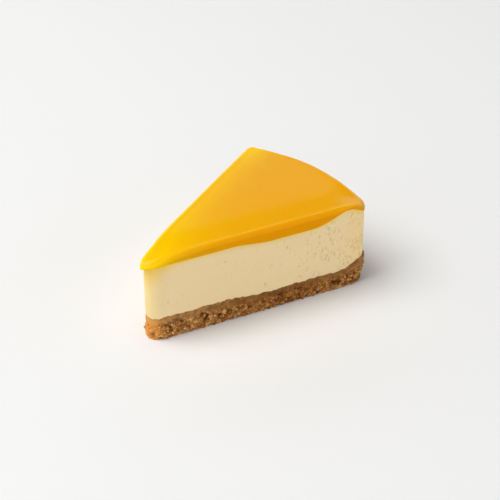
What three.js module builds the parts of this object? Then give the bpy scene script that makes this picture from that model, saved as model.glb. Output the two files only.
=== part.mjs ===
// A slice of baked cheesecake, cut from a round cake made in a 26 cm tin: a biscuit crumb base, a pale
// cream filling and a poured fruit glaze. Millimetres, +Z up. The slice points along -X, its curved rim
// faces +X and its near cut face is the one on the -Y side. The origin is under the middle of the slice.
import * as THREE from "three";

// Driving dimensions of the whole slice
const cakeRadius = 130;
const halfAngle = THREE.MathUtils.degToRad(18.5);
const sliceHeight = 46;
const tipRadius = 6.2;
const nearCornerRadius = 5.4;
const farCornerRadius = 3.6;
// The centre that the rings of a skin shrink to, measured from the middle of the cake
const ringCentreRadius = 84;
// Layers that lie on each other stay this far apart
const layerGap = 0.3;

// Biscuit base
const baseHeightAtTip = 12.2;
const baseHeightAtMiddle = 10.7;
const baseThinsFrom = 42;
const baseThinsTo = 74;
// The crumb was pressed up the tin's side a little, so the base rises to the rim
const baseRimRise = 4.6;
const baseRisesFrom = 115.5;
const baseRisesTo = 129.5;
const baseUnevenness = 0.35;
const baseUnevenLength = 8;
const crumbSize = 3.4;
const crumbRelief = 1.6;
// How far from its seed a crumb's surface lies level with the cut, as a share of the crumb size
const crumbLevel = 0.55;
// The upper part of the base is pressed smooth: the relief fades over these shares of its height
const crumbsFadeFrom = 0.45;
const crumbsFadeTo = 0.85;
const smoothRelief = 0.3;
const baseSideInset = 0.3;
const baseFootInset = 1.1;
// At the corner between the near cut face and the rim the upper part swells out and the foot draws in,
// between these shares of the height
const cornerSwell = 1.0;
const cornerFootIn = 1.3;
const cornerSwellFrom = 0.15;
const cornerSwellTo = 0.68;
const cornerSwellLength = 8;

// Cream filling
const fillingInset = 0.7;
const fillingWaviness = 0.22;
const fillingWaveLength = 15;

// Fruit glaze: its depth along the radius. It lies thickest in the dish that the filling baked into and is
// thin where the filling rises to the rim.
const glazeDepth = 5.2;
const glazeDishDepth = 2.1;
const glazeDishFrom = 55;
const glazeDishTo = 77;
const glazeRimLoss = 3.7;
const glazeRimFrom = 98;
const glazeRimTo = 119;
// On the near cut face it thins further just before the rim, and laps down over the corner
const nearCornerThins = 1.7;
const nearCornerThinsRadius = 118;
const nearCornerThinsLength = 6.5;
const cornerLap = 2.8;
const cornerLapLength = 4.5;
const glazeOverhang = 0.1;
const glazeTipOverhang = 1.9;
const glazeTipReach = 6;
const glazeLipInset = 0.7;
const glazeLipHeight = 0.8;
const glazeCutRounding = 2.8;
const glazeRimRounding = 1.6;
const glazeCornerRounding = 3.8;
const glazeCornerRoundingLength = 22;
// The edge counts as rim where its normal points this far along +X
const rimNormalFrom = 0.2;
const rimNormalTo = 0.9;
const glazeTipRounding = 4.4;
const glazeSoftTip = 18;
const glazeNearCornerRadius = 6.2;
// The top of the glaze sags to the tip, to the corner between the near cut face and the rim, to a place on
// the rim beside that corner, and a little along the near cut face
const tipDroop = 2.8;
const tipDroopLength = 12.3;
// It sags further at one place on the tip's round end, where its underside hangs down too
const tipSagsTowards = THREE.MathUtils.degToRad(147);
const tipTopSag = 1.5;
const tipTopSagLength = 4.5;
const tipUndersideSag = 2.9;
const tipUndersideSagLength = 4.6;
const cornerDroop = 2.2;
const cornerDroopLength = 3.6;
const rimDroop = 1.5;
const rimDroopAngle = THREE.MathUtils.degToRad(-15);
const rimDroopLength = 8.5;
const edgeDroop = 0.45;
const edgeDroopWidth = 18;
const glazeBead = 0.25;
const glazeBeadWidth = 2.6;

// Repeatable noise

// A number from 0 to 1 for each cell of a lattice.
function cellValue(x, y, z, salt) {
  let h = Math.imul(x, 374761393) ^ Math.imul(y, 668265263);
  h ^= Math.imul(z, 1103515245) ^ Math.imul(salt, 1911520717);
  h = Math.imul(h ^ (h >>> 13), 1274126177);
  h ^= h >>> 16;
  return (h >>> 0) / 4294967296;
}

// Smooth noise from -1 to 1, with lumps about one unit across.
function smoothNoise(x, y, z, salt) {
  const [i, j, k] = [Math.floor(x), Math.floor(y), Math.floor(z)];
  const ease = (t) => t * t * (3 - 2 * t);
  const [u, v, w] = [ease(x - i), ease(y - j), ease(z - k)];
  const mix = THREE.MathUtils.lerp;
  const along = (b, c) => mix(cellValue(i, j + b, k + c, salt), cellValue(i + 1, j + b, k + c, salt), u);
  const across = (c) => mix(along(0, c), along(1, c), v);
  return 2 * mix(across(0), across(1), w) - 1;
}

// Distance to the nearest of the scattered points, one to a cell: the shape of packed crumbs.
function crumbDistance(x, y, z) {
  const [i, j, k] = [Math.floor(x), Math.floor(y), Math.floor(z)];
  let nearest = Infinity;
  for (let a = i - 1; a <= i + 1; a++)
    for (let b = j - 1; b <= j + 1; b++)
      for (let c = k - 1; c <= k + 1; c++) {
        const dx = a + cellValue(a, b, c, 1) - x;
        const dy = b + cellValue(a, b, c, 2) - y;
        const dz = c + cellValue(a, b, c, 3) - z;
        nearest = Math.min(nearest, Math.hypot(dx, dy, dz));
      }
  return nearest;
}

// The wedge seen from above

// Evenly spaced points of the wedge's outline, anticlockwise from the far side of the tip, each with its
// outward normal. The middle of the cake is at 0, 0.
function wedgeOutline(count, nearCorner) {
  const nearTurn = Math.asin(nearCorner / (cakeRadius - nearCorner));
  const farTurn = Math.asin(farCornerRadius / (cakeRadius - farCornerRadius));
  const near = nearTurn - halfAngle;
  const far = halfAngle - farTurn;
  const path = new THREE.Path();
  const arc = (centreRadius, centreAngle, radius, from, to) => {
    const [x, y] = [centreRadius * Math.cos(centreAngle), centreRadius * Math.sin(centreAngle)];
    path.absarc(x, y, radius, from, to, false);
  };
  arc(tipRadius / Math.sin(halfAngle), 0, tipRadius, Math.PI / 2 + halfAngle, (3 * Math.PI) / 2 - halfAngle);
  arc(cakeRadius - nearCorner, near, nearCorner, -Math.PI / 2 - halfAngle, near);
  arc(0, 0, cakeRadius, near, far);
  arc(cakeRadius - farCornerRadius, far, farCornerRadius, far, Math.PI / 2 + halfAngle);
  path.closePath();
  const points = path.getSpacedPoints(count).slice(0, count);
  return points.map((point, i) => {
    const before = points[(i + count - 1) % count];
    const after = points[(i + 1) % count];
    const along = after.clone().sub(before).normalize();
    return { point, normal: new THREE.Vector2(along.y, -along.x) };
  });
}

// The outline moved outwards, or inwards where the amount is negative.
const moved = ({ point, normal }, outwards) => point.clone().addScaledVector(normal, outwards);

// A ring point drawn in towards the ring centre, and a point of the outline lifted to a height.
const ringCentre = new THREE.Vector2(ringCentreRadius, 0);
const drawnIn = (point, share) => ringCentre.clone().lerp(point, share);
const lifted = (p, z) => new THREE.Vector3(p.x, p.y, z);

// The slice's blunt tip, and the corner that its near cut face makes with the rim.
const onCake = (radius, angle) => new THREE.Vector2(radius * Math.cos(angle), radius * Math.sin(angle));
const tipCentre = new THREE.Vector2(tipRadius / Math.sin(halfAngle), 0);
const tipEnd = onCake(tipRadius, Math.PI).add(tipCentre);
const tipSagsAt = onCake(tipRadius, tipSagsTowards).add(tipCentre);
const nearRimCorner = onCake(cakeRadius, -halfAngle);
const nearCornerThinsAt = onCake(nearCornerThinsRadius, -halfAngle);
const rimDroopAt = onCake(cakeRadius, rimDroopAngle);

// 1 at the place, falling off smoothly over the given length.
const nearness = (p, place, length) => Math.exp(-((p.distanceTo(place) / length) ** 2));

// Heights of the surfaces where layers meet and of the top, as functions of the place on the cake

function baseTop(p) {
  const thinning = THREE.MathUtils.smoothstep(p.length(), baseThinsFrom, baseThinsTo);
  const rise = baseRimRise * THREE.MathUtils.smoothstep(p.length(), baseRisesFrom, baseRisesTo);
  const height = THREE.MathUtils.lerp(baseHeightAtTip, baseHeightAtMiddle, thinning) + rise;
  return height + baseUnevenness * smoothNoise(p.x / baseUnevenLength, p.y / baseUnevenLength, 0, 4);
}

function glazeUnderside(p) {
  const dish = glazeDishDepth * THREE.MathUtils.smoothstep(p.length(), glazeDishFrom, glazeDishTo);
  const rim = glazeRimLoss * THREE.MathUtils.smoothstep(p.length(), glazeRimFrom, glazeRimTo);
  const thin = nearCornerThins * nearness(p, nearCornerThinsAt, nearCornerThinsLength);
  const lap = cornerLap * nearness(p, nearRimCorner, cornerLapLength);
  const tipSag = tipUndersideSag * nearness(p, tipSagsAt, tipUndersideSagLength);
  return sliceHeight - (glazeDepth + dish - rim - thin + lap) - tipSag;
}

function glazeTop(p) {
  const tipSlope = tipDroop * nearness(p, tipEnd, tipDroopLength);
  const tipSag = tipTopSag * nearness(p, tipSagsAt, tipTopSagLength);
  const cornerSag = cornerDroop * nearness(p, nearRimCorner, cornerDroopLength);
  const rimSag = rimDroop * nearness(p, rimDroopAt, rimDroopLength);
  const fromNearCut = p.x * Math.sin(halfAngle) + p.y * Math.cos(halfAngle);
  const edgeSag = edgeDroop * (1 - THREE.MathUtils.smoothstep(fromNearCut, 0, edgeDroopWidth));
  return sliceHeight - tipSlope - tipSag - cornerSag - rimSag - edgeSag;
}

// One closed skin: rings of points, each joined to the next, from the middle of the underside at one height
// to the middle of the top at another. The quads between two rings are split both ways in turn.
function skin(rings, lowMiddle, highMiddle) {
  const count = rings[0].length;
  const points = [lifted(ringCentre, lowMiddle), ...rings.flat(), lifted(ringCentre, highMiddle)];
  const at = (ring, i) => 1 + ring * count + (i % count);
  const last = 1 + rings.length * count;
  const faces = [];
  for (let i = 0; i < count; i++) {
    faces.push(0, at(0, i + 1), at(0, i));
    for (let ring = 0; ring + 1 < rings.length; ring++) {
      const [a, b, c, d] = [at(ring, i), at(ring, i + 1), at(ring + 1, i + 1), at(ring + 1, i)];
      if ((i + ring) % 2) faces.push(a, b, c, a, c, d);
      else faces.push(a, b, d, b, c, d);
    }
    faces.push(at(rings.length - 1, i), at(rings.length - 1, i + 1), last);
  }
  const geometry = new THREE.BufferGeometry().setFromPoints(points);
  geometry.setIndex(faces);
  geometry.computeVertexNormals();
  return geometry;
}

// A flat or curved cap as rings: the outer outline drawn in by each share, at the surface's height there.
const capRings = (outer, shares, surface) =>
  shares.map((share) => outer.map((p) => drawnIn(p, share)).map((p) => lifted(p, surface(p))));

// Biscuit base: pressed crumbs, rough at the sides, with a flat foot

function biscuitBase() {
  const outlineCount = 180;
  const rows = 6;
  const rowsStart = 0.4;
  const topShares = [0.97, 0.88, 0.78, 0.66];
  const outline = wedgeOutline(outlineCount, nearCornerRadius);
  const crumb = (p, z) => crumbLevel - crumbDistance(p.x / crumbSize, p.y / crumbSize, z / crumbSize);
  const swell = (p, share) => {
    const risen = THREE.MathUtils.smoothstep(share, cornerSwellFrom, cornerSwellTo);
    const outwards = THREE.MathUtils.lerp(-cornerFootIn, cornerSwell, risen);
    return outwards * nearness(p, nearRimCorner, cornerSwellLength);
  };
  const foot = outline.map((o) => lifted(moved(o, swell(o.point, 0) - baseFootInset), 0));
  const sides = [];
  for (let row = 0; row <= rows; row++)
    sides.push(
      outline.map((o) => {
        const share = (row + rowsStart) / (rows + rowsStart);
        const z = share * baseTop(o.point);
        const pressed = THREE.MathUtils.smoothstep(share, crumbsFadeFrom, crumbsFadeTo);
        const relief = crumbRelief * THREE.MathUtils.lerp(1, smoothRelief, pressed);
        const outwards = relief * crumb(o.point, z) + swell(o.point, share) - baseSideInset;
        return lifted(moved(o, outwards), z);
      }),
    );
  const rim = outline.map((o) => moved(o, swell(o.point, 1) - baseSideInset));
  const top = capRings(rim, topShares, baseTop);
  return skin([foot, ...sides, ...top], 0, baseTop(ringCentre));
}

// Cream filling: smooth cut faces, and a top that dips into a shallow dish inside its rim

const layerOutlineCount = 130;
const underShares = [1, 0.97, 0.88, 0.78, 0.66];
const dishShares = [1, 0.96, 0.92, 0.88, 0.78, 0.66, 0.5, 0.3];

function creamFilling() {
  const rows = 4;
  const outline = wedgeOutline(layerOutlineCount, nearCornerRadius);
  const wall = (o, z) => {
    const [u, v] = [o.point.x / fillingWaveLength, o.point.y / fillingWaveLength];
    return moved(o, fillingWaviness * smoothNoise(u, v, z / fillingWaveLength, 7) - fillingInset);
  };
  const bottom = (p) => baseTop(p) + layerGap;
  const top = (p) => glazeUnderside(p) - layerGap;
  const foot = outline.map((o) => wall(o, bottom(o.point)));
  const head = outline.map((o) => wall(o, top(o.point)));
  const walls = [];
  for (let row = 1; row < rows; row++)
    walls.push(
      outline.map((o) => {
        const z = THREE.MathUtils.lerp(bottom(o.point), top(o.point), row / rows);
        return lifted(wall(o, z), z);
      }),
    );
  const under = capRings(foot, underShares, bottom).reverse();
  const over = capRings(head, dishShares, top);
  return skin([...under, ...walls, ...over], bottom(ringCentre), top(ringCentre));
}

// Fruit glaze: set level, with soft edges, and bulging a little over the tip

function fruitGlaze() {
  const roundingSteps = 5;
  const topShares = [0.95, 0.86, 0.72, 0.5, 0.25];
  const outline = wedgeOutline(layerOutlineCount, glazeNearCornerRadius);
  const nearTip = (p) => nearness(p, tipEnd, glazeTipReach);
  const rimShare = (o) => THREE.MathUtils.smoothstep(o.normal.x, rimNormalFrom, rimNormalTo);
  const reach = (o) => glazeOverhang + glazeTipOverhang * nearTip(o.point);
  const rounding = (o) => {
    const nearCorner = nearness(o.point, nearRimCorner, glazeCornerRoundingLength);
    const rim = THREE.MathUtils.lerp(glazeRimRounding, glazeCornerRounding, nearCorner);
    const rounded = THREE.MathUtils.lerp(glazeCutRounding, rim, rimShare(o));
    return rounded + (glazeTipRounding - glazeCutRounding) * nearness(o.point, tipEnd, glazeSoftTip);
  };
  const underEdge = outline.map((o) => moved(o, reach(o) - glazeLipInset));
  const under = capRings(underEdge, dishShares, glazeUnderside).reverse();
  const edge = [];
  for (let step = 0; step <= roundingSteps; step++)
    edge.push(
      outline.map((o) => {
        const turn = (step / roundingSteps) * (Math.PI / 2);
        const radius = Math.min(rounding(o), glazeTop(o.point) - glazeUnderside(o.point) - glazeLipHeight);
        const place = moved(o, reach(o) - rounding(o) * (1 - Math.cos(turn)));
        return lifted(place, glazeTop(place) - radius * (1 - Math.sin(turn)));
      }),
    );
  const crown = outline.map((o) => moved(o, reach(o) - rounding(o)));
  const bead = (share) => glazeBead * (1 - Math.exp(-((1 - share) * ringCentreRadius) / glazeBeadWidth));
  const top = topShares.map((share) =>
    crown.map((p) => drawnIn(p, share)).map((p) => lifted(p, glazeTop(p) - bead(share))),
  );
  return skin([...under, ...edge, ...top], glazeUnderside(ringCentre), glazeTop(ringCentre) - bead(0));
}

// The slice

const layers = [
  ["biscuit_base", biscuitBase(), { color: 0x8a5a2c, roughness: 0.9, metalness: 0 }],
  ["cream_filling", creamFilling(), { color: 0xe6cf9f, roughness: 0.55, metalness: 0 }],
  ["fruit_glaze", fruitGlaze(), { color: 0xf0aa0c, roughness: 0.15, metalness: 0 }],
];

const slice = new THREE.Group();
for (const [name, geometry, look] of layers) {
  const mesh = new THREE.Mesh(geometry, new THREE.MeshStandardMaterial(look));
  mesh.name = name;
  slice.add(mesh);
}

// The middle of the slice's footprint goes to the origin.
const middle = new THREE.Box3().setFromObject(slice).getCenter(new THREE.Vector3());
slice.position.set(-middle.x, -middle.y, 0);

export default slice;
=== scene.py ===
# A slice of baked cheesecake: crumbly biscuit base, baked cream filling and a set fruit glaze. Metres.
import math

import bpy
import numpy as np
from mathutils import Matrix, Vector, noise


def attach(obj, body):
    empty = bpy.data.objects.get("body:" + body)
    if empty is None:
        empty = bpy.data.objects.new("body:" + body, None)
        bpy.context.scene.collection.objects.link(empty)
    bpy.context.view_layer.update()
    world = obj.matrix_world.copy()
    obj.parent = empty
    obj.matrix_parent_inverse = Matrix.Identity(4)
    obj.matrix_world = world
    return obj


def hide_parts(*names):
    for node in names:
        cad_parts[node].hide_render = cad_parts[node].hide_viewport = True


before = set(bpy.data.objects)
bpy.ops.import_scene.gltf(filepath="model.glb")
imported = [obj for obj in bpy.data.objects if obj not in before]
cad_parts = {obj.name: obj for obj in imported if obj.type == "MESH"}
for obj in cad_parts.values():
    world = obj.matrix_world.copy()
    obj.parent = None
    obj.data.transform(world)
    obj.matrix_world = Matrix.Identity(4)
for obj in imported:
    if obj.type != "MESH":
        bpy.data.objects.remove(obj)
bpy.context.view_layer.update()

# The camera
# It stands to the front left of the slice, above its point, and looks down on it with a long lens.
CAMERA_AT = Vector((-0.46252, -0.46109, 0.43403))
CAMERA_HEADING = math.radians(45.78)
CAMERA_PITCH = math.radians(32.15)
IMAGE_SIDE = 500
FOCAL_LENGTH_IN_PIXELS = 1577
SENSOR_WIDTH = 36
NEAREST_SEEN = 0.01

camera = bpy.data.cameras.new("camera")
camera.sensor_width = SENSOR_WIDTH
camera.lens = SENSOR_WIDTH * FOCAL_LENGTH_IN_PIXELS / IMAGE_SIDE
camera.clip_start = NEAREST_SEEN
camera_object = bpy.data.objects.new("camera", camera)
bpy.context.scene.collection.objects.link(camera_object)
to_right = Vector((math.cos(CAMERA_HEADING), -math.sin(CAMERA_HEADING), 0))
away = Vector((math.sin(CAMERA_HEADING), math.cos(CAMERA_HEADING), 0))
looking = away * math.cos(CAMERA_PITCH) - Vector((0, 0, math.sin(CAMERA_PITCH)))
upright = to_right.cross(looking)
camera_object.matrix_world = Matrix.Translation(CAMERA_AT) @ Matrix(
    (to_right, upright, -looking)
).transposed().to_4x4()
bpy.context.scene.camera = camera_object

# The light
# Daylight from a broad window to the left of the slice, a weak one overhead, and a pale room whose walls
# are bright and whose ceiling is dim.
WINDOW_SIDE = 2.0
WINDOW_DISTANCE = 2.6
WINDOW_TO_LEFT = 0.6
WINDOW_TO_FRONT = 0.12
WINDOW_POWER = 58.5
WINDOW_COLOUR = (1.0, 0.985, 0.95)
SKYLIGHT_SIDE = 1.1
SKYLIGHT_HEIGHT = 1.4
SKYLIGHT_POWER = 2
SKYLIGHT_COLOUR = (1.0, 0.99, 0.97)
WALL_COLOUR = (1.13, 1.12, 1.1, 1)
CEILING_COLOUR = (0.03, 0.03, 0.03, 1)
WALL_TOP = 0.455
CEILING_START = 0.55


def add_window(name, side, power, colour, place):
    """A square area light that faces the slice."""
    light = bpy.data.lights.new(name, "AREA")
    light.shape = "SQUARE"
    light.size = side
    light.energy = power
    light.color = colour
    light_object = bpy.data.objects.new(name, light)
    light_object.location = place
    light_object.rotation_euler = place.to_track_quat("Z", "Y").to_euler()
    bpy.context.scene.collection.objects.link(light_object)


to_window = (-to_right * WINDOW_TO_LEFT - away * WINDOW_TO_FRONT + Vector((0, 0, 1))).normalized()
add_window("window", WINDOW_SIDE, WINDOW_POWER, WINDOW_COLOUR, to_window * WINDOW_DISTANCE)
skylight_at = Vector((0, 0, SKYLIGHT_HEIGHT))
add_window("skylight", SKYLIGHT_SIDE, SKYLIGHT_POWER, SKYLIGHT_COLOUR, skylight_at)

room = bpy.data.worlds.new("room")
room.use_nodes = True
room_nodes = room.node_tree.nodes
room_direction = room_nodes.new("ShaderNodeTexCoord").outputs["Generated"]
room_height = room_nodes.new("ShaderNodeSeparateXYZ")
room_shade = room_nodes.new("ShaderNodeValToRGB")
room_shade.color_ramp.interpolation = "EASE"
for stop, place, colour in zip(
    room_shade.color_ramp.elements, (WALL_TOP, CEILING_START), (WALL_COLOUR, CEILING_COLOUR)
):
    stop.position = place
    stop.color = colour
room.node_tree.links.new(room_direction, room_height.inputs[0])
room.node_tree.links.new(room_height.outputs["Z"], room_shade.inputs["Fac"])
room.node_tree.links.new(room_shade.outputs["Color"], room_nodes["Background"].inputs["Color"])
bpy.context.scene.world = room
bpy.context.scene.view_settings.view_transform = "Standard"

# The floor
# A plain pale table top, matt, that the slice stands on.
FLOOR_SIDE = 12
FLOOR_COLOUR = (0.897, 0.907, 0.925, 1)
FLOOR_ROUGHNESS = 0.6


def new_material(name, roughness):
    """A material with a Principled BSDF, and that shader."""
    material = bpy.data.materials.new(name)
    material.use_nodes = True
    shader = material.node_tree.nodes["Principled BSDF"]
    shader.inputs["Roughness"].default_value = roughness
    return material, shader


def new_piece(name, verts, faces, material):
    """A mesh object at the origin, smooth shaded."""
    mesh = bpy.data.meshes.new(name)
    mesh.from_pydata(verts, [], faces)
    mesh.shade_smooth()
    mesh.materials.append(material)
    piece = bpy.data.objects.new(name, mesh)
    bpy.context.scene.collection.objects.link(piece)
    return piece


floor_material, floor_shader = new_material("pale table top", FLOOR_ROUGHNESS)
floor_shader.inputs["Base Color"].default_value = FLOOR_COLOUR
floor_corners = [(-1, -1), (1, -1), (1, 1), (-1, 1)]
floor_verts = [(x * FLOOR_SIDE / 2, y * FLOOR_SIDE / 2, 0) for x, y in floor_corners]
floor = new_piece("floor", floor_verts, [(0, 1, 2, 3)], floor_material)

# The biscuit base
# Crushed biscuits bound with butter and pressed into the tin. The knife leaves the upper part dense and
# smooth, and tears crumbs out of the looser part below.
CAKE_RADIUS = 0.130
HALF_ANGLE = math.radians(18.5)
CAKE_MIDDLE = np.array((-0.07079, 0.00002))
TIP_RADIUS = 0.0062
NEAR_CORNER_RADIUS = 0.0054
FAR_CORNER_RADIUS = 0.0036
TIP_END = np.array((TIP_RADIUS / math.sin(HALF_ANGLE) - TIP_RADIUS, 0))
NEAR_RIM_CORNER = CAKE_RADIUS * np.array((math.cos(HALF_ANGLE), -math.sin(HALF_ANGLE)))
RING_CENTRE = np.array((0.084, 0.0))
BASE_HEIGHT_AT_TIP = 0.0125
BASE_HEIGHT_AT_MIDDLE = 0.0107
BASE_THINS = (0.042, 0.074)
BASE_RIM_RISE = 0.0046
BASE_RISES = (0.1155, 0.1295)
BASE_UNEVENNESS = 0.00045
BASE_UNEVEN_LENGTH = 0.0045
BASE_UNEVEN_SEED = 4
BASE_RAGGEDNESS = 0.0002
BASE_RAGGED_LENGTH = 0.0013
BASE_RAGGED_SEED = 9
BASE_FOOT_INSET = 0.0013
BASE_SIDE_INSET = 0.0004
CORNER_SWELL = 0.001
CORNER_FOOT_IN = 0.0013
CORNER_SWELLS_BETWEEN = (0.15, 0.68)
CORNER_SWELL_LENGTH = 0.008
OUTLINE_ARC_POINTS = 200
BASE_COLUMNS = 1280
BASE_ROWS = 42
LOWEST_ROW = 0.02
BASE_TOP_SHARES = (0.995, 0.97, 0.88, 0.78, 0.66)
COARSE_UP_TO = (0.5, 0.78)
DARKER_FROM_TO = (0.02, 0.075)
LESS_DARK_AT_RIM = 0.48
RIM_LIGHTENS = (0.095, 0.12)
TIP_PAINTED_LIGHT = 0.65
TIP_PAINTED_LIGHT_LENGTH = 0.0066
PRESSED_RELIEF = 0.26
CRUMB_SIZE = 0.0024
CRUMB_DEPTH = 0.0012
GRAIN_SIZE = 0.0009
GRAIN_DEPTH = 0.00042
CRUMB_ROUNDNESS = 0.55
HOLLOW_SIZE = 0.0029
HOLLOW_DEPTH = 0.0011
HOLLOWS_START_AT = (0.48, 0.72)
CREVICE_SHADE_BETWEEN = (0.0001, -0.0009)
GRAIN_TINT_SHARE = 0.6
BISCUIT_ROUGHNESS = 0.85
BISCUIT_SHINE = 0.12
CRUMB_COLOURS = (
    (0.12, (0.28, 0.1, 0.018)),
    (0.38, (0.47, 0.2, 0.048)),
    (0.62, (0.66, 0.335, 0.102)),
    (0.88, (0.92, 0.6, 0.26)),
)
SCORCHED_COLOUR = (0.30, 0.11, 0.025)
SCORCH_SIZE = 0.0045
SCORCHED_BETWEEN = (0.5, 0.7)
MOST_SCORCHED = 0.5
DENSE_COLOURS = ((0.31, 0.14, 0.04), (0.51, 0.265, 0.09))
MOTTLE_SIZE = 0.0028
MOTTLED_BETWEEN = (0.35, 0.65)
# The cut face is darker along its middle, lighter towards the tip and again towards the rim.
DARKENING = 0.92
DARKENING_TINT = (0.63, 0.51, 0.36)
# Painted light, brighter and more orange, on the tip of the base that faces the window.
TIP_PAINTED_LIGHT_COLOUR = (0.86, 0.37, 0.07)
# Painted shade, darkening the crevices between the crumbs.
CREVICE_SHADE_COLOUR = (0.155, 0.052, 0.009)
PORE_SIZE = 0.0006
PORE_DEPTH = 0.0003


def wedge_outline(count, near_corner):
    """Evenly spaced points of the wedge seen from above, anticlockwise from the far side of the tip, with
    their outward normals. The middle of the round cake is at 0, 0."""

    def arc(middle_radius, middle_angle, radius, start, end):
        turn = np.linspace(start, end, OUTLINE_ARC_POINTS)
        outward = np.stack((np.cos(turn), np.sin(turn)), 1)
        middle = middle_radius * np.array((math.cos(middle_angle), math.sin(middle_angle)))
        return middle + radius * outward, outward

    quarter = math.pi / 2
    near = math.asin(near_corner / (CAKE_RADIUS - near_corner)) - HALF_ANGLE
    far = HALF_ANGLE - math.asin(FAR_CORNER_RADIUS / (CAKE_RADIUS - FAR_CORNER_RADIUS))
    tip_middle = TIP_RADIUS / math.sin(HALF_ANGLE)
    arcs = (
        arc(tip_middle, 0, TIP_RADIUS, quarter + HALF_ANGLE, 3 * quarter - HALF_ANGLE),
        arc(CAKE_RADIUS - near_corner, near, near_corner, -quarter - HALF_ANGLE, near),
        arc(0, 0, CAKE_RADIUS, near, far),
        arc(CAKE_RADIUS - FAR_CORNER_RADIUS, far, FAR_CORNER_RADIUS, far, quarter + HALF_ANGLE),
    )
    points = np.concatenate([p for p, _ in arcs] + [arcs[0][0][:1]])
    outward = np.concatenate([n for _, n in arcs] + [arcs[0][1][:1]])
    steps = np.linalg.norm(np.diff(points, axis=0), axis=1)
    walked = np.concatenate(([0], np.cumsum(steps)))
    stops = np.linspace(0, walked[-1], count, endpoint=False)
    points = np.stack([np.interp(stops, walked, c) for c in points.T], 1)
    outward = np.stack([np.interp(stops, walked, c) for c in outward.T], 1)
    return points, outward / np.linalg.norm(outward, axis=1, keepdims=True)


def smoothstep(value, low, high):
    share = np.clip((value - low) / (high - low), 0, 1)
    return share * share * (3 - 2 * share)


def from_middle(points):
    """Distances of the points from the middle of the round cake."""
    return np.linalg.norm(points, axis=-1)


def nearness(points, place, length):
    """1 at the place, falling off smoothly over the length."""
    return np.exp(-((np.linalg.norm(points - place, axis=-1) / length) ** 2))


def wander(points, length, seed):
    """Smooth noise from about -1 to 1 at each point of the plan, with waves about that long."""
    flat = points.reshape(-1, 2) / length
    return np.array([noise.noise((x, y, seed)) for x, y in flat]).reshape(points.shape[:-1]) * 2


def base_top(points):
    radius = from_middle(points)
    thinning = (BASE_HEIGHT_AT_TIP - BASE_HEIGHT_AT_MIDDLE) * smoothstep(radius, *BASE_THINS)
    rise = BASE_RIM_RISE * smoothstep(radius, *BASE_RISES)
    uneven = BASE_UNEVENNESS * wander(points, BASE_UNEVEN_LENGTH, BASE_UNEVEN_SEED)
    ragged = BASE_RAGGEDNESS * wander(points, BASE_RAGGED_LENGTH, BASE_RAGGED_SEED)
    return BASE_HEIGHT_AT_TIP - thinning + rise + uneven + ragged


def corner_swell(points, share):
    """How far the base swells out at the near rim corner, at a share of its height. Its foot draws in."""
    risen = smoothstep(share, *CORNER_SWELLS_BETWEEN)
    outwards = CORNER_SWELL * risen - CORNER_FOOT_IN * (1 - risen)
    return outwards * nearness(points, NEAR_RIM_CORNER, CORNER_SWELL_LENGTH)


def ring(points, heights):
    """Points of the plan lifted to their heights, in the slice's own frame."""
    heights = np.broadcast_to(heights, points.shape[:-1])
    return np.concatenate((points + CAKE_MIDDLE, heights[..., None]), -1)


def cap_rings(edge, shares, surface):
    """Rings that shrink from an outline to the ring centre, on a surface."""
    drawn_in = [RING_CENTRE + (edge - RING_CENTRE) * share for share in shares]
    return [ring(points, surface(points)) for points in drawn_in]


def skin(name, rings, low_middle, high_middle, material):
    """A closed piece through rings of points, from the middle of its underside to the middle of its top."""
    count = len(rings[0])
    middles = [[ring(RING_CENTRE, height)] for height in (low_middle, high_middle)]
    verts = np.concatenate([middles[0], *rings, middles[1]])
    here = np.arange(count)
    following = (here + 1) % count
    lower = 1 + count * np.arange(len(rings) - 1)[:, None]
    quads = np.stack(
        (lower + here, lower + following, lower + count + following, lower + count + here), -1
    ).reshape(-1, 4)
    last_ring = 1 + count * (len(rings) - 1)
    top = len(verts) - 1
    underside = [(0, b, a) for a, b in zip(1 + here, 1 + following)]
    crown = [(top, a, b) for a, b in zip(last_ring + here, last_ring + following)]
    return new_piece(name, verts.tolist(), underside + quads.tolist() + crown, material)


def set_attribute(piece, name, values):
    """A number at each of a skin's points: one for each ring, or one for each point of each ring."""
    count = (len(piece.data.vertices) - 2) // len(values)
    spread = np.broadcast_to(np.asarray(values, float).reshape(len(values), -1), (len(values), count))
    padded = np.concatenate((spread[0, :1], spread.ravel(), spread[-1, :1]))
    piece.data.attributes.new(name, "FLOAT", "POINT").data.foreach_set("value", padded.astype(np.float32))


def add_node(tree, kind, settings=None, inputs=None):
    """A node with its settings, and its inputs each linked to a socket or given a value."""
    made = tree.nodes.new(kind)
    for key, value in (settings or {}).items():
        setattr(made, key, value)
    for key, value in (inputs or {}).items():
        if isinstance(value, bpy.types.NodeSocket):
            tree.links.new(value, made.inputs[key])
        else:
            made.inputs[key].default_value = value
    return made


def calc(tree, operation, *values):
    """The result of a Math node."""
    return add_node(tree, "ShaderNodeMath", {"operation": operation}, dict(enumerate(values))).outputs[0]


def vector_calc(tree, operation, first, second):
    """The result of a Vector Math node. To SCALE, the second value is a number."""
    inputs = {0: first, "Scale" if operation == "SCALE" else 1: second}
    return add_node(tree, "ShaderNodeVectorMath", {"operation": operation}, inputs).outputs["Vector"]


def remap(tree, value, from_min, from_max, to_min=0.0, to_max=1.0):
    """The result of a smooth Map Range node."""
    settings = {"interpolation_type": "SMOOTHSTEP"}
    inputs = {0: value, 1: from_min, 2: from_max, 3: to_min, 4: to_max}
    return add_node(tree, "ShaderNodeMapRange", settings, inputs).outputs[0]


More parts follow.
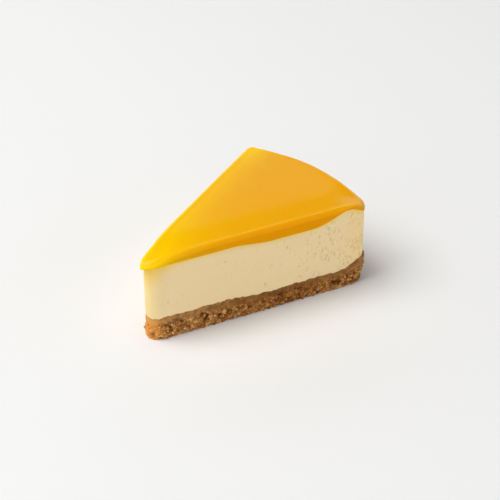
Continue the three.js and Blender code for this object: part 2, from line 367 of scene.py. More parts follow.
def new_geometry_tree(name, sizes):
    """A Geometry Nodes tree with a named input for each size, and its input and output nodes."""
    tree = bpy.data.node_groups.new(name, "GeometryNodeTree")
    tree.interface.new_socket("Geometry", in_out="INPUT", socket_type="NodeSocketGeometry")
    for size in sizes:
        tree.interface.new_socket(size, in_out="INPUT", socket_type="NodeSocketFloat")
    tree.interface.new_socket("Geometry", in_out="OUTPUT", socket_type="NodeSocketGeometry")
    return tree, tree.nodes.new("NodeGroupInput"), tree.nodes.new("NodeGroupOutput")


def apply_geometry_tree(piece, tree, sizes, name=None):
    """Runs the tree on a piece. The result replaces the piece's mesh or, with a name, is a new piece."""
    modifier = piece.modifiers.new(tree.name, "NODES")
    modifier.node_group = tree
    for item in tree.interface.items_tree:
        if item.in_out == "INPUT" and item.name in sizes:
            modifier[item.identifier] = float(sizes[item.name])
    evaluated = piece.evaluated_get(bpy.context.evaluated_depsgraph_get())
    mesh = bpy.data.meshes.new_from_object(evaluated)
    piece.modifiers.remove(modifier)
    if name is None:
        piece.data = mesh
        return piece
    mesh.name = name
    made = bpy.data.objects.new(name, mesh)
    bpy.context.scene.collection.objects.link(made)
    return made


def named_float(tree, name):
    """A number stored on the mesh, in a Geometry Nodes tree."""
    settings = {"data_type": "FLOAT"}
    made = add_node(tree, "GeometryNodeInputNamedAttribute", settings, {"Name": name})
    return made.outputs["Attribute"]


def store_number(tree, geometry, name, value, domain="POINT"):
    """Stores a number on the mesh, in a Geometry Nodes tree."""
    settings = {"data_type": "FLOAT", "domain": domain}
    inputs = {"Geometry": geometry, "Name": name, "Value": value}
    return add_node(tree, "GeometryNodeStoreNamedAttribute", settings, inputs).outputs[0]


def finish_tree(tree, result, geometry, material):
    """Gives the geometry its material, and makes it what the tree puts out."""
    inputs = {"Geometry": geometry, "Material": material}
    finished = add_node(tree, "GeometryNodeSetMaterial", None, inputs).outputs[0]
    tree.links.new(finished, result.inputs["Geometry"])


def push_outward(tree, geometry, height):
    """Moves the points along their normals."""
    normal = tree.nodes.new("GeometryNodeInputNormal").outputs[0]
    inputs = {"Geometry": geometry, "Offset": vector_calc(tree, "SCALE", normal, height)}
    return add_node(tree, "GeometryNodeSetPosition", None, inputs).outputs[0]


def keep_on_table(tree, geometry):
    """Lifts the points that are below the table top onto it."""
    place = tree.nodes.new("GeometryNodeInputPosition").outputs[0]
    inputs = {"Geometry": geometry, "Position": vector_calc(tree, "MAXIMUM", place, (-1, -1, 0))}
    return add_node(tree, "GeometryNodeSetPosition", None, inputs).outputs[0]


def surface_number(material, name):
    """A number stored on the mesh, in a material."""
    return add_node(material.node_tree, "ShaderNodeAttribute", {"attribute_name": name}).outputs["Fac"]


def colour_steps(material, value, steps):
    """Colours by a value: each step is a place from 0 to 1 and a colour."""
    ramp = add_node(material.node_tree, "ShaderNodeValToRGB", None, {"Fac": value})
    stops = ramp.color_ramp.elements
    while len(stops) < len(steps):
        stops.new(0.5)
    for stop, (place, colour) in zip(stops, steps):
        stop.position = place
        stop.color = (*colour, 1)
    return ramp.outputs["Color"]


def mix_colours(material, share, first, second, blend="MIX"):
    """Two colours mixed, the second by its share."""
    settings = {"data_type": "RGBA", "blend_type": blend}
    mixed = add_node(material.node_tree, "ShaderNodeMix", settings)
    for key, value in ((0, share), (6, first), (7, second)):
        if isinstance(value, bpy.types.NodeSocket):
            material.node_tree.links.new(value, mixed.inputs[key])
        else:
            mixed.inputs[key].default_value = value if key == 0 else (*value, 1)
    return mixed.outputs[2]


def noise_texture(material, size, detail, stretch=(1, 1, 1)):
    """Noise with lumps about that size, on Object coordinates."""
    tree = material.node_tree
    place = add_node(tree, "ShaderNodeTexCoord").outputs["Object"]
    scale = [1 / size / s for s in stretch]
    mapped = add_node(tree, "ShaderNodeMapping", None, {"Vector": place, "Scale": scale}).outputs[0]
    inputs = {"Vector": mapped, "Scale": 1.0, "Detail": detail}
    return add_node(tree, "ShaderNodeTexNoise", None, inputs).outputs["Fac"]


def add_bump(material, shader, height, distance, strength=1.0):
    inputs = {"Height": height, "Distance": distance, "Strength": strength}
    bump = add_node(material.node_tree, "ShaderNodeBump", None, inputs)
    material.node_tree.links.new(bump.outputs["Normal"], shader.inputs["Normal"])


biscuit, biscuit_shader = new_material("pressed biscuit crumb", BISCUIT_ROUGHNESS)
crumb_colour = colour_steps(biscuit, surface_number(biscuit, "tint"), CRUMB_COLOURS)
scorching = noise_texture(biscuit, SCORCH_SIZE, 2)
scorched = remap(biscuit.node_tree, scorching, *SCORCHED_BETWEEN, 0, MOST_SCORCHED)
crumbly = mix_colours(biscuit, scorched, crumb_colour, SCORCHED_COLOUR)
mottle = remap(biscuit.node_tree, noise_texture(biscuit, MOTTLE_SIZE, 4), *MOTTLED_BETWEEN)
dense = mix_colours(biscuit, mottle, *DENSE_COLOURS)
pale = mix_colours(biscuit, surface_number(biscuit, "pressed"), crumbly, dense)
# Darker along the middle of the cut face, lighter towards the tip and the rim.
darkening_share = calc(biscuit.node_tree, "MULTIPLY", surface_number(biscuit, "darker_along_face"), DARKENING)
darkened = mix_colours(biscuit, darkening_share, pale, DARKENING_TINT, "MULTIPLY")
# Painted light: the tip of the base, which faces the window, is lit brighter and more orange.
painted_tip_light = mix_colours(biscuit, surface_number(biscuit, "painted_tip_light"), darkened, TIP_PAINTED_LIGHT_COLOUR)
# Painted shade: the crevices between the crumbs are darkened.
shaded = mix_colours(biscuit, surface_number(biscuit, "crevice_shade"), painted_tip_light, CREVICE_SHADE_COLOUR)
biscuit.node_tree.links.new(shaded, biscuit_shader.inputs["Base Color"])
biscuit_shader.inputs["Specular IOR Level"].default_value = BISCUIT_SHINE
add_bump(biscuit, biscuit_shader, noise_texture(biscuit, PORE_SIZE, 4), PORE_DEPTH)

outline, outward = wedge_outline(BASE_COLUMNS, NEAR_CORNER_RADIUS)
row_shares = np.linspace(LOWEST_ROW, 1, BASE_ROWS)
edge_heights = base_top(outline)
base_rings = [ring(outline + outward * (corner_swell(outline, 0) - BASE_FOOT_INSET)[:, None], 0)]
for share in row_shares:
    base_edge = outline + outward * (corner_swell(outline, share) - BASE_SIDE_INSET)[:, None]
    base_rings.append(ring(base_edge, edge_heights * share))
base_rings += cap_rings(base_edge, BASE_TOP_SHARES, base_top)
base = skin("biscuit_base_crumb", base_rings, 0, base_top(RING_CENTRE), biscuit)
pressed = smoothstep(row_shares, *COARSE_UP_TO)
relief = 1 - (1 - PRESSED_RELIEF) * pressed
on_top = np.ones(len(BASE_TOP_SHARES))
set_attribute(base, "relief", [0, *relief, *0 * on_top])
set_attribute(base, "pressed", [0, *pressed, *on_top])
# How much darker the cut face is: most along its middle, less towards the tip and again towards the rim.
darker_along_face = smoothstep(from_middle(outline), *DARKER_FROM_TO)
darker_along_face = darker_along_face - LESS_DARK_AT_RIM * smoothstep(from_middle(outline), *RIM_LIGHTENS)
set_attribute(base, "darker_along_face", [darker_along_face] * len(base_rings))
# Painted light on the tip of the base.
painted_tip_light_share = TIP_PAINTED_LIGHT * nearness(outline, TIP_END, TIP_PAINTED_LIGHT_LENGTH)
set_attribute(base, "painted_tip_light", [painted_tip_light_share] * len(base_rings))

tree, given, result = new_geometry_tree(
    "torn crumb",
    ("Crumb Size", "Crumb Depth", "Grain Size", "Grain Depth", "Hollow Size", "Hollow Depth"),
)


def crumb_pattern(size):
    """Rounded lumps that fall off from each crumb's middle, and the crumb's own random number."""
    scale = calc(tree, "DIVIDE", 1.0, given.outputs[size])
    cells = add_node(tree, "ShaderNodeTexVoronoi", None, {"Scale": scale})
    own = add_node(tree, "ShaderNodeSeparateXYZ", None, {0: cells.outputs["Color"]}).outputs[0]
    return calc(tree, "SUBTRACT", CRUMB_ROUNDNESS, cells.outputs["Distance"]), own


crumbs, crumb_number = crumb_pattern("Crumb Size")
grains, grain_number = crumb_pattern("Grain Size")
hollow_scale = calc(tree, "DIVIDE", 1.0, given.outputs["Hollow Size"])
hollow_noise = add_node(tree, "ShaderNodeTexNoise", None, {"Scale": hollow_scale, "Detail": 2.0})
hollows = remap(tree, hollow_noise.outputs[0], *HOLLOWS_START_AT)
height = calc(tree, "MULTIPLY", crumbs, given.outputs["Crumb Depth"])
height = calc(tree, "MULTIPLY_ADD", grains, given.outputs["Grain Depth"], height)
deepening = calc(tree, "MULTIPLY", hollows, given.outputs["Hollow Depth"])
height = calc(tree, "SUBTRACT", height, deepening)
height = calc(tree, "MULTIPLY", height, named_float(tree, "relief"))
# Painted shade: how low a point lies in the relief, stored so that the material darkens the crevices.
crevice_shade = remap(tree, height, *CREVICE_SHADE_BETWEEN)
crumb_tint = calc(tree, "MULTIPLY", crumb_number, 1 - GRAIN_TINT_SHARE)
tint = calc(tree, "MULTIPLY_ADD", grain_number, GRAIN_TINT_SHARE, crumb_tint)
# The numbers are stored before the points move, because the crumb pattern is read where a point is.
stored = given.outputs["Geometry"]
for name, value in (("crevice_shade", crevice_shade), ("tint", tint), ("height", height)):
    stored = store_number(tree, stored, name, value)
moved = push_outward(tree, stored, named_float(tree, "height"))
finish_tree(tree, result, keep_on_table(tree, moved), biscuit)
apply_geometry_tree(
    base,
    tree,
    {
        "Crumb Size": CRUMB_SIZE,
        "Crumb Depth": CRUMB_DEPTH,
        "Grain Size": GRAIN_SIZE,
        "Grain Depth": GRAIN_DEPTH,
        "Hollow Size": HOLLOW_SIZE,
        "Hollow Depth": HOLLOW_DEPTH,
    },
)
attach(base, "root")
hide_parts("biscuit_base")

# The loose crumbs
# Bits of biscuit that the knife tore half out of the base, still stuck to its sides.
LOOSE_SPACING = 0.0008
LOOSE_DENSITY = 900000
LOOSE_SMALLEST = 0.0002
LOOSE_LARGEST = 0.0008
LOOSE_ROUGHNESS = 0.0003
LOOSE_ROUGHNESS_SIZE = 0.0009
LOOSE_WHERE_RELIEF = (0.4, 0.95)
LOOSE_SMALLNESS = 1.8
LOOSE_FORMS = ((0.6,) * 3, (1.25,) * 3)
LOOSE_TINTS = (0.2, 1.0)
UNIT_BIT_SIDE = 1.7
LOOSE_PLACE_SEED = 3
LOOSE_TURN_SEED = 5
LOOSE_SIZE_SEED = 6
LOOSE_FORM_SEED = 7
LOOSE_TINT_SEED = 8


def scatter_points(tree, given, crowding, seed):
    """Points on the faces, apart by at least the tree's Spacing."""
    inputs = {
        "Mesh": given.outputs["Geometry"],
        "Distance Min": given.outputs["Spacing"],
        "Density Max": given.outputs["Density"],
        "Density Factor": crowding,
        "Seed": seed,
    }
    settings = {"distribute_method": "POISSON"}
    return add_node(tree, "GeometryNodeDistributePointsOnFaces", settings, inputs).outputs["Points"]


def random_value(tree, low, high, seed):
    """For each point, a random number or, between two vectors, a random vector."""
    kind, first, output = ("FLOAT_VECTOR", 0, 0) if isinstance(low, tuple) else ("FLOAT", 2, 1)
    inputs = {first: low, first + 1: high, "Seed": seed}
    return add_node(tree, "FunctionNodeRandomValue", {"data_type": kind}, inputs).outputs[output]


def random_size(tree, given, smallness, seed):
    """A random size from the tree's Smallest to its Largest. With more smallness, more of them are small."""
    chance = calc(tree, "POWER", random_value(tree, 0.0, 1.0, seed), smallness)
    span = calc(tree, "SUBTRACT", given.outputs["Largest"], given.outputs["Smallest"])
    return calc(tree, "MULTIPLY_ADD", chance, span, given.outputs["Smallest"])


tree, given, result = new_geometry_tree(
    "loose crumbs", ("Spacing", "Density", "Smallest", "Largest", "Roughness", "Roughness Size")
)
where_torn = remap(tree, named_float(tree, "relief"), *LOOSE_WHERE_RELIEF)
bit_places = scatter_points(tree, given, where_torn, LOOSE_PLACE_SEED)
cube = {"Size": (UNIT_BIT_SIDE,) * 3, "Vertices X": 3, "Vertices Y": 3, "Vertices Z": 3}
bit = add_node(tree, "GeometryNodeMeshCube", None, cube).outputs["Mesh"]
bit_turn = random_value(tree, (0.0,) * 3, (math.tau,) * 3, LOOSE_TURN_SEED)
bit_size = random_size(tree, given, LOOSE_SMALLNESS, LOOSE_SIZE_SEED)
bit_form = random_value(tree, *LOOSE_FORMS, LOOSE_FORM_SEED)
bit_scale = vector_calc(tree, "SCALE", bit_form, bit_size)
inputs = {"Points": bit_places, "Instance": bit, "Rotation": bit_turn, "Scale": bit_scale}
bits = add_node(tree, "GeometryNodeInstanceOnPoints", None, inputs).outputs["Instances"]
bit_tint = random_value(tree, *LOOSE_TINTS, LOOSE_TINT_SEED)
bits = store_number(tree, bits, "tint", bit_tint, "INSTANCE")
bits = add_node(tree, "GeometryNodeRealizeInstances", None, {"Geometry": bits}).outputs[0]
rough_scale = calc(tree, "DIVIDE", 1.0, given.outputs["Roughness Size"])
rough = add_node(tree, "ShaderNodeTexNoise", None, {"Scale": rough_scale, "Detail": 1.0}).outputs["Color"]
# The noise runs from 0 to 1, so it is centred and doubled to push by up to the Roughness either way.
centred = vector_calc(tree, "SUBTRACT", rough, (0.5,) * 3)
push = calc(tree, "MULTIPLY", given.outputs["Roughness"], 2.0)
inputs = {"Geometry": bits, "Offset": vector_calc(tree, "SCALE", centred, push)}
bits = add_node(tree, "GeometryNodeSetPosition", None, inputs).outputs[0]
finish_tree(tree, result, keep_on_table(tree, bits), biscuit)
loose = apply_geometry_tree(
    base,
    tree,
    {
        "Spacing": LOOSE_SPACING,
        "Density": LOOSE_DENSITY,
        "Smallest": LOOSE_SMALLEST,
        "Largest": LOOSE_LARGEST,
        "Roughness": LOOSE_ROUGHNESS,
        "Roughness Size": LOOSE_ROUGHNESS_SIZE,
    },
    "biscuit_loose_crumbs",
)
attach(loose, "root")

# The cream filling
# Soft cheese, eggs and cream baked until set. The knife leaves it smooth, with small air holes that it
# drags out a little, most of them towards the rim.
FILLING_INSET = 0.0002
FILLING_WAVINESS = 0.00022
FILLING_WAVE_LENGTH = 0.015
FILLING_WAVE_SEED = 7
FILLING_COLUMNS = 1000
FILLING_ROWS = 92
FILLING_UNDER_SHARES = (0.66, 0.88)
FILLING_TOP_SHARES = (0.9, 0.75, 0.5, 0.25)
FILLING_PLAIN_EDGE = 0.06
SLICE_HEIGHT = 0.046
GLAZE_DEPTH = 0.0052
GLAZE_DISH_DEPTH = 0.0021
GLAZE_DISH_DEEPENS = (0.055, 0.077)
GLAZE_RIM_LOSS = 0.0037
GLAZE_RIM_THINS = (0.098, 0.119)
NEAR_CORNER_THINS = 0.0017
NEAR_CORNER_THINS_RADIUS = 0.118
NEAR_CORNER_THINS_AT = NEAR_RIM_CORNER * NEAR_CORNER_THINS_RADIUS / CAKE_RADIUS
NEAR_CORNER_THINS_LENGTH = 0.0065
CORNER_LAP = 0.0028
CORNER_LAP_LENGTH = 0.0045
TIP_SAGS_TOWARDS = math.radians(147)
TIP_CENTRE = TIP_END + np.array((TIP_RADIUS, 0))
TIP_SAGS_AT = TIP_CENTRE + TIP_RADIUS * np.array((math.cos(TIP_SAGS_TOWARDS), math.sin(TIP_SAGS_TOWARDS)))
TIP_UNDERSIDE_SAG = 0.0029
TIP_UNDERSIDE_LENGTH = 0.0046
LAYER_OVERLAP = 0.0004
HOLE_SPACING = 0.001
HOLE_DENSITY = 520000
HOLE_SMALLEST = 0.0003
HOLE_LARGEST = 0.0007
HOLE_DEPTH = 0.5
HOLE_DRAG = (1.0, 1.0, 0.55)
AIRY_FROM_TO = (-0.01, 0.05)
AIRY_LEAST = 0.02
AIRY_PATCH = 0.009
AIRY_PATCHES_BETWEEN = (0.35, 0.6)
HOLE_SMALLNESS = 2.0
HOLE_FRAYING = 0.0011
HOLE_FRAYS_BETWEEN = (0.3, 0.7)
HOLE_FRAYS_TO = (0.6, 1.5)
HOLE_EDGE = (1.15, 0.25)
HOLE_PLACE_SEED = 11
HOLE_SIZE_SEED = 12
STAIN = 0.8
STAIN_DEPTH = 0.11
TIP_STAIN_DEPTH = 0.6
TIP_STAIN_LENGTH = 0.009
TIP_STAIN_AND_SHADE_LENGTH = 0.0055
TIP_STAIN = 0.12
RIM_STAIN = 0.2
RIM_STAINS = (0.114, 0.124)
CREAM_ROUGHNESS = 0.5
CREAM_SHINE = 0.3
CREAM_COLOURS = ((0.895, 0.695, 0.385), (0.925, 0.73, 0.42))
CREAM_CLOUD_SIZE = 0.02
# Painted shade for pits too small to model.
SPECK_SHADE_COLOUR = (0.72, 0.50, 0.22)
SPECK_SIZE = 0.0011
SPECK_STRETCH = (1, 1, 1.7)
SPECKED_BETWEEN = (0.6, 0.78)
LEAST_SPECKED = 0.35
SPECKED_MORE_WHERE_AIRY = 0.8
# Painted highlights on the lit rims of small pits.
FLECK_HIGHLIGHT_COLOUR = (1.0, 0.84, 0.56)
FLECK_SIZE = 0.0014
FLECK_STRETCH = (1, 1, 1.4)
FLECKED_BETWEEN = (0.58, 0.75)
# Painted shade inside the air holes.
HOLE_SHADE_COLOUR = (0.78, 0.57, 0.29)
STAIN_COLOUR = (0.95, 0.62, 0.12)
# Painted shade on the cream at the tip, with a slight olive tint.
TIP_SHADE_TINT = (0.885, 0.92, 0.81)
CREAM_SEES_IN = 0.25
CREAM_LIGHT_REACH = 0.0018
CREAM_LIGHT_REACH_BY_COLOUR = (1.0, 0.8, 0.5)
KNIFE_MARK_SIZE = 0.0012
KNIFE_MARK_DEPTH = 0.00025
KNIFE_MARK_STRETCH = (1, 1, 2.5)
KNIFE_MARK_STRENGTH = 0.6


def glaze_underside(points):
    radius = from_middle(points)
    depth = GLAZE_DEPTH + GLAZE_DISH_DEPTH * smoothstep(radius, *GLAZE_DISH_DEEPENS)
    depth = depth - GLAZE_RIM_LOSS * smoothstep(radius, *GLAZE_RIM_THINS)
    depth = depth - NEAR_CORNER_THINS * nearness(points, NEAR_CORNER_THINS_AT, NEAR_CORNER_THINS_LENGTH)
    depth = depth + CORNER_LAP * nearness(points, NEAR_RIM_CORNER, CORNER_LAP_LENGTH)
    return SLICE_HEIGHT - depth - TIP_UNDERSIDE_SAG * nearness(points, TIP_SAGS_AT, TIP_UNDERSIDE_LENGTH)


cream, cream_shader = new_material("baked cream", CREAM_ROUGHNESS)
cream_base = mix_colours(cream, noise_texture(cream, CREAM_CLOUD_SIZE, 3), *CREAM_COLOURS)
airy = surface_number(cream, "airy")
# Painted shade: small dark specks stand for tiny pits, more of them where the air holes crowd.
specks = remap(cream.node_tree, noise_texture(cream, SPECK_SIZE, 2, SPECK_STRETCH), *SPECKED_BETWEEN)
speck_share = calc(cream.node_tree, "MULTIPLY_ADD", airy, SPECKED_MORE_WHERE_AIRY, LEAST_SPECKED)
specks = calc(cream.node_tree, "MULTIPLY", specks, speck_share)
speck_shaded = mix_colours(cream, specks, cream_base, SPECK_SHADE_COLOUR)
# Painted highlights: pale flecks stand for the lit rims of small pits, only where the air holes crowd.
flecks = remap(cream.node_tree, noise_texture(cream, FLECK_SIZE, 2, FLECK_STRETCH), *FLECKED_BETWEEN)
fleck_highlighted = mix_colours(cream, calc(cream.node_tree, "MULTIPLY", flecks, airy), speck_shaded, FLECK_HIGHLIGHT_COLOUR)
# Painted shade inside the air holes, which are also sunk into the wall.
hole_shaded = mix_colours(cream, surface_number(cream, "hole"), fleck_highlighted, HOLE_SHADE_COLOUR)
stained = mix_colours(cream, surface_number(cream, "stain"), hole_shaded, STAIN_COLOUR)
# Painted shade: the cream near the tip, which faces the window, is dimmed, with a slight olive tint like the
# juice stain there.
tip_shaded = mix_colours(cream, surface_number(cream, "tip"), stained, TIP_SHADE_TINT, "MULTIPLY")
cream.node_tree.links.new(tip_shaded, cream_shader.inputs["Base Color"])
cream_shader.inputs["Specular IOR Level"].default_value = CREAM_SHINE
cream_shader.inputs["Subsurface Weight"].default_value = CREAM_SEES_IN
cream_shader.inputs["Subsurface Radius"].default_value = CREAM_LIGHT_REACH_BY_COLOUR
cream_shader.inputs["Subsurface Scale"].default_value = CREAM_LIGHT_REACH
knife_marks = noise_texture(cream, KNIFE_MARK_SIZE, 4, KNIFE_MARK_STRETCH)
add_bump(cream, cream_shader, knife_marks, KNIFE_MARK_DEPTH, KNIFE_MARK_STRENGTH)


def filling_underside(points):
    return base_top(points) - LAYER_OVERLAP


def filling_top(points):
    return glaze_underside(points) + LAYER_OVERLAP


outline, outward = wedge_outline(FILLING_COLUMNS, NEAR_CORNER_RADIUS)
waves = wander(outline, FILLING_WAVE_LENGTH, FILLING_WAVE_SEED) * FILLING_WAVINESS
filling_edge = outline + outward * (waves - FILLING_INSET)[:, None]
low = filling_underside(filling_edge)
high = filling_top(filling_edge)
shares = np.linspace(0, 1, FILLING_ROWS)
filling_rings = cap_rings(filling_edge, FILLING_UNDER_SHARES, filling_underside)
filling_rings += [ring(filling_edge, low + (high - low) * share) for share in shares]
filling_rings += cap_rings(filling_edge, FILLING_TOP_SHARES, filling_top)
filling = skin(
    "cream_filling_baked", filling_rings, filling_underside(RING_CENTRE), filling_top(RING_CENTRE), cream
)
wall_rows = smoothstep(shares, 0, FILLING_PLAIN_EDGE) * smoothstep(shares, 1, 1 - FILLING_PLAIN_EDGE)
below = [np.zeros(FILLING_COLUMNS)] * len(FILLING_UNDER_SHARES)
above = [np.ones(FILLING_COLUMNS)] * len(FILLING_TOP_SHARES)
set_attribute(filling, "wall", [*[0] * len(below), *wall_rows, *[0] * len(above)])
deeper = (TIP_STAIN_DEPTH - STAIN_DEPTH) * nearness(outline, TIP_END, TIP_STAIN_LENGTH)
# Near the tip: the juice stain and the painted shade both reach this far.
at_tip = nearness(outline, TIP_END, TIP_STAIN_AND_SHADE_LENGTH)
side_stain = TIP_STAIN * at_tip + RIM_STAIN * smoothstep(from_middle(outline), *RIM_STAINS)
stain = [STAIN * smoothstep(share, 1 - STAIN_DEPTH - deeper, 1) + side_stain for share in shares]
set_attribute(filling, "stain", [*below, *stain, *above])
# Painted shade at the tip of the cream.
set_attribute(filling, "tip", [at_tip] * len(filling_rings))

tree, given, result = new_geometry_tree("air holes", ("Spacing", "Density", "Smallest", "Largest", "Depth"))
place = tree.nodes.new("GeometryNodeInputPosition").outputs[0]
along = add_node(tree, "ShaderNodeSeparateXYZ", None, {0: place})
rimward = remap(tree, along.outputs["X"], *AIRY_FROM_TO, AIRY_LEAST, 1)
patches = add_node(tree, "ShaderNodeTexNoise", None, {"Scale": 1 / AIRY_PATCH, "Detail": 1.0}).outputs[0]
crowding = calc(tree, "MULTIPLY", rimward, remap(tree, patches, *AIRY_PATCHES_BETWEEN))
crowding = calc(tree, "MULTIPLY", crowding, named_float(tree, "wall"))
hole_middles = scatter_points(tree, given, crowding, HOLE_PLACE_SEED)
radius = random_size(tree, given, HOLE_SMALLNESS, HOLE_SIZE_SEED)
nearest = add_node(tree, "GeometryNodeSampleNearest", None, {"Geometry": hole_middles}).outputs["Index"]


def at_nearest_hole(value, data_type):
    """What a value is at the hole that is nearest to each point of the wall."""
    inputs = {"Geometry": hole_middles, "Value": value, "Index": nearest}
    return add_node(tree, "GeometryNodeSampleIndex", {"data_type": data_type}, inputs).outputs[0]


hole_radius = at_nearest_hole(radius, "FLOAT")
apart = vector_calc(tree, "SUBTRACT", place, at_nearest_hole(place, "FLOAT_VECTOR"))
dragged = vector_calc(tree, "MULTIPLY", apart, HOLE_DRAG)
distance = add_node(tree, "ShaderNodeVectorMath", {"operation": "LENGTH"}, {0: dragged}).outputs["Value"]
frayed = add_node(tree, "ShaderNodeTexNoise", None, {"Scale": 1 / HOLE_FRAYING, "Detail": 1.0}).outputs[0]
distance = calc(tree, "MULTIPLY", distance, remap(tree, frayed, *HOLE_FRAYS_BETWEEN, *HOLE_FRAYS_TO))
hole = remap(tree, calc(tree, "DIVIDE", distance, hole_radius), *HOLE_EDGE)
hole = calc(tree, "MULTIPLY", hole, named_float(tree, "wall"))
stored = store_number(tree, given.outputs["Geometry"], "hole", hole)
stored = store_number(tree, stored, "airy", crowding)
sink = calc(tree, "MULTIPLY", named_float(tree, "hole"), hole_radius)
sink = calc(tree, "MULTIPLY", sink, given.outputs["Depth"])
finish_tree(tree, result, push_outward(tree, stored, calc(tree, "MULTIPLY", sink, -1.0)), cream)
apply_geometry_tree(
    filling,
    tree,
    {
        "Spacing": HOLE_SPACING,
        "Density": HOLE_DENSITY,
        "Smallest": HOLE_SMALLEST,
        "Largest": HOLE_LARGEST,
        "Depth": HOLE_DEPTH,
    },
)
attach(filling, "root")
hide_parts("cream_filling")

# The fruit glaze
# Fruit jelly poured over the cold cake and set. It fills the dish that the filling baked into, its cut
# edges slump into soft curves, and it sags over the tip.
GLAZE_COLUMNS = 760
GLAZE_NEAR_CORNER_RADIUS = 0.0062
GLAZE_OVERHANG = 0.0001
GLAZE_TIP_OVERHANG = 0.0019
GLAZE_TIP_REACH = 0.006
GLAZE_SOFT_TIP = 0.018
GLAZE_LIP_INSET = 0.0003
GLAZE_LIP_HEIGHT = 0.0008
GLAZE_CUT_ROUNDING = 0.0023
GLAZE_RIM_ROUNDING = 0.0016
GLAZE_CORNER_ROUNDING = 0.0038
GLAZE_CORNER_ROUNDING_LENGTH = 0.022
GLAZE_TIP_ROUNDING = 0.0044
GLAZE_EDGE_STEPS = 16
GLAZE_UNDER_SHARES = (0.2, 0.4, 0.6, 0.8, 0.93, 1)
GLAZE_LIP_SHARES = (0.2, 0.35, 0.8)
GLAZE_TOP_SHARES = (
    0.99, 0.98, 0.965, 0.945, 0.92, 0.89, 0.85, 0.8, 0.74, 0.67, 0.58, 0.48, 0.37, 0.25, 0.12
)
RIM_FACES = (0.2, 0.9)
TIP_DROOP = 0.0028
TIP_DROOP_LENGTH = 0.0123
TIP_TOP_SAG = 0.0015
TIP_TOP_SAG_LENGTH = 0.0045
CORNER_DROOP = 0.0022
CORNER_DROOP_LENGTH = 0.0036
RIM_DROOP = 0.0015
RIM_DROOP_ANGLE = math.radians(-15)
RIM_DROOP_AT = CAKE_RADIUS * np.array((math.cos(RIM_DROOP_ANGLE), math.sin(RIM_DROOP_ANGLE)))
RIM_DROOP_LENGTH = 0.0085
RIM_BULGE = 0.0012
RIM_BULGE_ANGLE = math.radians(4)
RIM_BULGE_AT = CAKE_RADIUS * np.array((math.cos(RIM_BULGE_ANGLE), math.sin(RIM_BULGE_ANGLE)))
RIM_BULGE_LENGTH = 0.018
FAR_RIM_CORNER = CAKE_RADIUS * np.array((math.cos(HALF_ANGLE), math.sin(HALF_ANGLE)))
EDGE_DROOP = 0.00045
EDGE_DROOP_WIDTH = 0.018
GLAZE_BEAD = 0.00008
GLAZE_BEAD_WIDTH = 0.0026
THIN_TIP = 0.66
THIN_TIP_LENGTH = 0.042
THIN_TIP_END = 0.28
THIN_TIP_END_LENGTH = 0.01
THIN_EDGE = 0.7
THIN_EDGE_WIDTH = 0.0105
# Thinner jelly at the far rim corner, together with a painted sheen there.
THIN_AND_SHEEN_CORNER = 0.85
THIN_AND_SHEEN_CORNER_LENGTH = 0.0125
# Painted reflection: a deeper orange band inside the rim.
RIM_DARK_REFLECTION = 0.14
RIM_DARK_REFLECTION_AT = 0.0065
RIM_DARK_REFLECTION_WIDTH = 0.0045
TOP_THICKNESS = 0.5
TOP_GLOSS = 0.47
CUT_GLOSS_SHARE = 0.15
JELLY_ROUGHNESS = 0.16
JELLY_COLOURS = (
    (0.0, (0.97, 0.55, 0.001)),
    (0.5, (0.845, 0.38, 0.0005)),
    (1.0, (0.87, 0.335, 0.0005)),
)
JELLY_SEES_IN = 0.5
JELLY_LIGHT_REACH = 0.004
JELLY_LIGHT_REACH_BY_COLOUR = (1.0, 0.6, 0.1)
GLOSS_ROUGHNESS = 0.15
RIPPLE_SIZE = 0.03
RIPPLE_DEPTH = 0.0008


def from_near_cut(points):
    """How far the points are from the cut face on the camera's side."""
    return points @ np.array((math.sin(HALF_ANGLE), math.cos(HALF_ANGLE)))


def glaze_top(points):
    tip_sag = TIP_DROOP * nearness(points, TIP_END, TIP_DROOP_LENGTH)
    tip_sag = tip_sag + TIP_TOP_SAG * nearness(points, TIP_SAGS_AT, TIP_TOP_SAG_LENGTH)
    corner_sag = CORNER_DROOP * nearness(points, NEAR_RIM_CORNER, CORNER_DROOP_LENGTH)
    rim_sag = RIM_DROOP * nearness(points, RIM_DROOP_AT, RIM_DROOP_LENGTH)
    edge_sag = EDGE_DROOP * (1 - smoothstep(from_near_cut(points), 0, EDGE_DROOP_WIDTH))
    return SLICE_HEIGHT - tip_sag - corner_sag - rim_sag - edge_sag


jelly, jelly_shader = new_material("set fruit jelly", JELLY_ROUGHNESS)
jelly_colour = colour_steps(jelly, surface_number(jelly, "thickness_and_reflection"), JELLY_COLOURS)
jelly.node_tree.links.new(jelly_colour, jelly_shader.inputs["Base Color"])
jelly_shader.inputs["Subsurface Weight"].default_value = JELLY_SEES_IN
jelly_shader.inputs["Subsurface Radius"].default_value = JELLY_LIGHT_REACH_BY_COLOUR
jelly_shader.inputs["Subsurface Scale"].default_value = JELLY_LIGHT_REACH
# All the gloss is in the coat, so that it can fade where the jelly was cut.
jelly_shader.inputs["Specular IOR Level"].default_value = 0
glossy = calc(jelly.node_tree, "MULTIPLY", surface_number(jelly, "poured"), TOP_GLOSS)
jelly.node_tree.links.new(glossy, jelly_shader.inputs["Coat Weight"])
jelly_shader.inputs["Coat Roughness"].default_value = GLOSS_ROUGHNESS
add_bump(jelly, jelly_shader, noise_texture(jelly, RIPPLE_SIZE, 1), RIPPLE_DEPTH)

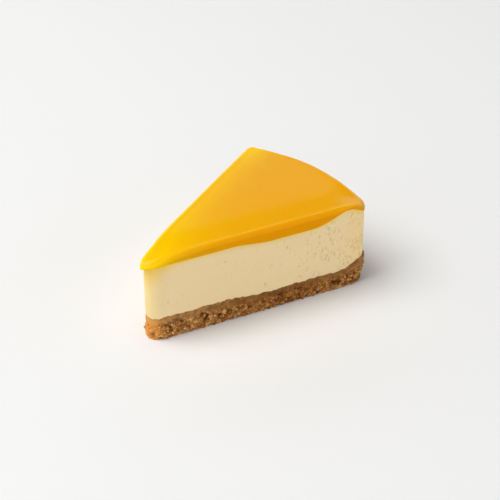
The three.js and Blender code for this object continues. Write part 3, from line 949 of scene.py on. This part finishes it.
outline, outward = wedge_outline(GLAZE_COLUMNS, GLAZE_NEAR_CORNER_RADIUS)
at_tip = nearness(outline, TIP_END, GLAZE_TIP_REACH)
at_rim = smoothstep(outward[:, 0], *RIM_FACES)
at_corner = nearness(outline, NEAR_RIM_CORNER, GLAZE_CORNER_ROUNDING_LENGTH)
reach = GLAZE_OVERHANG + GLAZE_TIP_OVERHANG * at_tip
reach += RIM_BULGE * nearness(outline, RIM_BULGE_AT, RIM_BULGE_LENGTH)
rim_rounding = GLAZE_RIM_ROUNDING + (GLAZE_CORNER_ROUNDING - GLAZE_RIM_ROUNDING) * at_corner
rounding = GLAZE_CUT_ROUNDING + (rim_rounding - GLAZE_CUT_ROUNDING) * at_rim
rounding += (GLAZE_TIP_ROUNDING - GLAZE_CUT_ROUNDING) * nearness(outline, TIP_END, GLAZE_SOFT_TIP)
glaze_thickness = glaze_top(outline) - glaze_underside(outline)
fitted_rounding = np.minimum(rounding, glaze_thickness - GLAZE_LIP_HEIGHT)
under_edge = outline + outward * (reach - GLAZE_LIP_INSET)[:, None]
glaze_rings = cap_rings(under_edge, GLAZE_UNDER_SHARES, glaze_underside)
lip_edge = outline + outward * reach[:, None]
for share in GLAZE_LIP_SHARES:
    glaze_rings.append(ring(lip_edge, glaze_underside(outline) + GLAZE_LIP_HEIGHT * share))
edge_turns = np.linspace(0, math.pi / 2, GLAZE_EDGE_STEPS)
for turn in edge_turns:
    inwards = rounding * (1 - math.cos(turn))
    edge = outline + outward * (reach - inwards)[:, None]
    glaze_rings.append(ring(edge, glaze_top(edge) - fitted_rounding * (1 - math.sin(turn))))
crown = outline + outward * (reach - rounding)[:, None]
for share in GLAZE_TOP_SHARES:
    points = RING_CENTRE + (crown - RING_CENTRE) * share
    bead = GLAZE_BEAD * (1 - math.exp(-(1 - share) * RING_CENTRE[0] / GLAZE_BEAD_WIDTH))
    glaze_rings.append(ring(points, glaze_top(points) - bead))
glaze_top_middle = glaze_top(RING_CENTRE) - GLAZE_BEAD
glaze = skin("fruit_glaze_jelly", glaze_rings, glaze_underside(RING_CENTRE), glaze_top_middle, jelly)
ring_points = np.array(glaze_rings)[..., :2] - CAKE_MIDDLE
from_far_cut = ring_points @ np.array((math.sin(HALF_ANGLE), -math.cos(HALF_ANGLE)))
from_rim = CAKE_RADIUS - from_middle(ring_points)
# How thin the jelly is, with a painted sheen at the far rim corner and a painted darker reflection inside
# the rim.
thinness_and_reflection = THIN_TIP * nearness(ring_points, TIP_END, THIN_TIP_LENGTH)
thinness_and_reflection = thinness_and_reflection + THIN_TIP_END * nearness(ring_points, TIP_END, THIN_TIP_END_LENGTH)
thinness_and_reflection = thinness_and_reflection + THIN_EDGE * np.exp(-((from_far_cut / THIN_EDGE_WIDTH) ** 2))
# Painted reflection: a deeper orange band just inside the rim, where the rounded top reflects the darker
# table behind.
thinness_and_reflection = thinness_and_reflection - RIM_DARK_REFLECTION * np.exp(-(((from_rim - RIM_DARK_REFLECTION_AT) / RIM_DARK_REFLECTION_WIDTH) ** 2))
# At the far rim corner the jelly is thinner, and the lighter yellow there is also a painted sheen.
thinness_and_reflection = thinness_and_reflection + THIN_AND_SHEEN_CORNER * nearness(ring_points, FAR_RIM_CORNER, THIN_AND_SHEEN_CORNER_LENGTH)
edge_depths = np.linspace(1, TOP_THICKNESS, len(GLAZE_LIP_SHARES) + GLAZE_EDGE_STEPS)
under_depths = np.ones(len(GLAZE_UNDER_SHARES))
depths = np.concatenate((under_depths, edge_depths, [TOP_THICKNESS] * len(GLAZE_TOP_SHARES)))
# Partly how thick the jelly is, partly the painted reflection band and sheen.
thickness_and_reflection = depths[:, None] * (1 - np.minimum(thinness_and_reflection, 1))
set_attribute(glaze, "thickness_and_reflection", thickness_and_reflection)
# The poured top is glossy, and the cut edge below it is duller.
below_edge = [CUT_GLOSS_SHARE] * (len(GLAZE_UNDER_SHARES) + len(GLAZE_LIP_SHARES))
poured = CUT_GLOSS_SHARE + (1 - CUT_GLOSS_SHARE) * np.sin(edge_turns)
set_attribute(glaze, "poured", [*below_edge, *poured, *[1] * len(GLAZE_TOP_SHARES)])
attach(glaze, "root")
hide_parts("fruit_glaze")
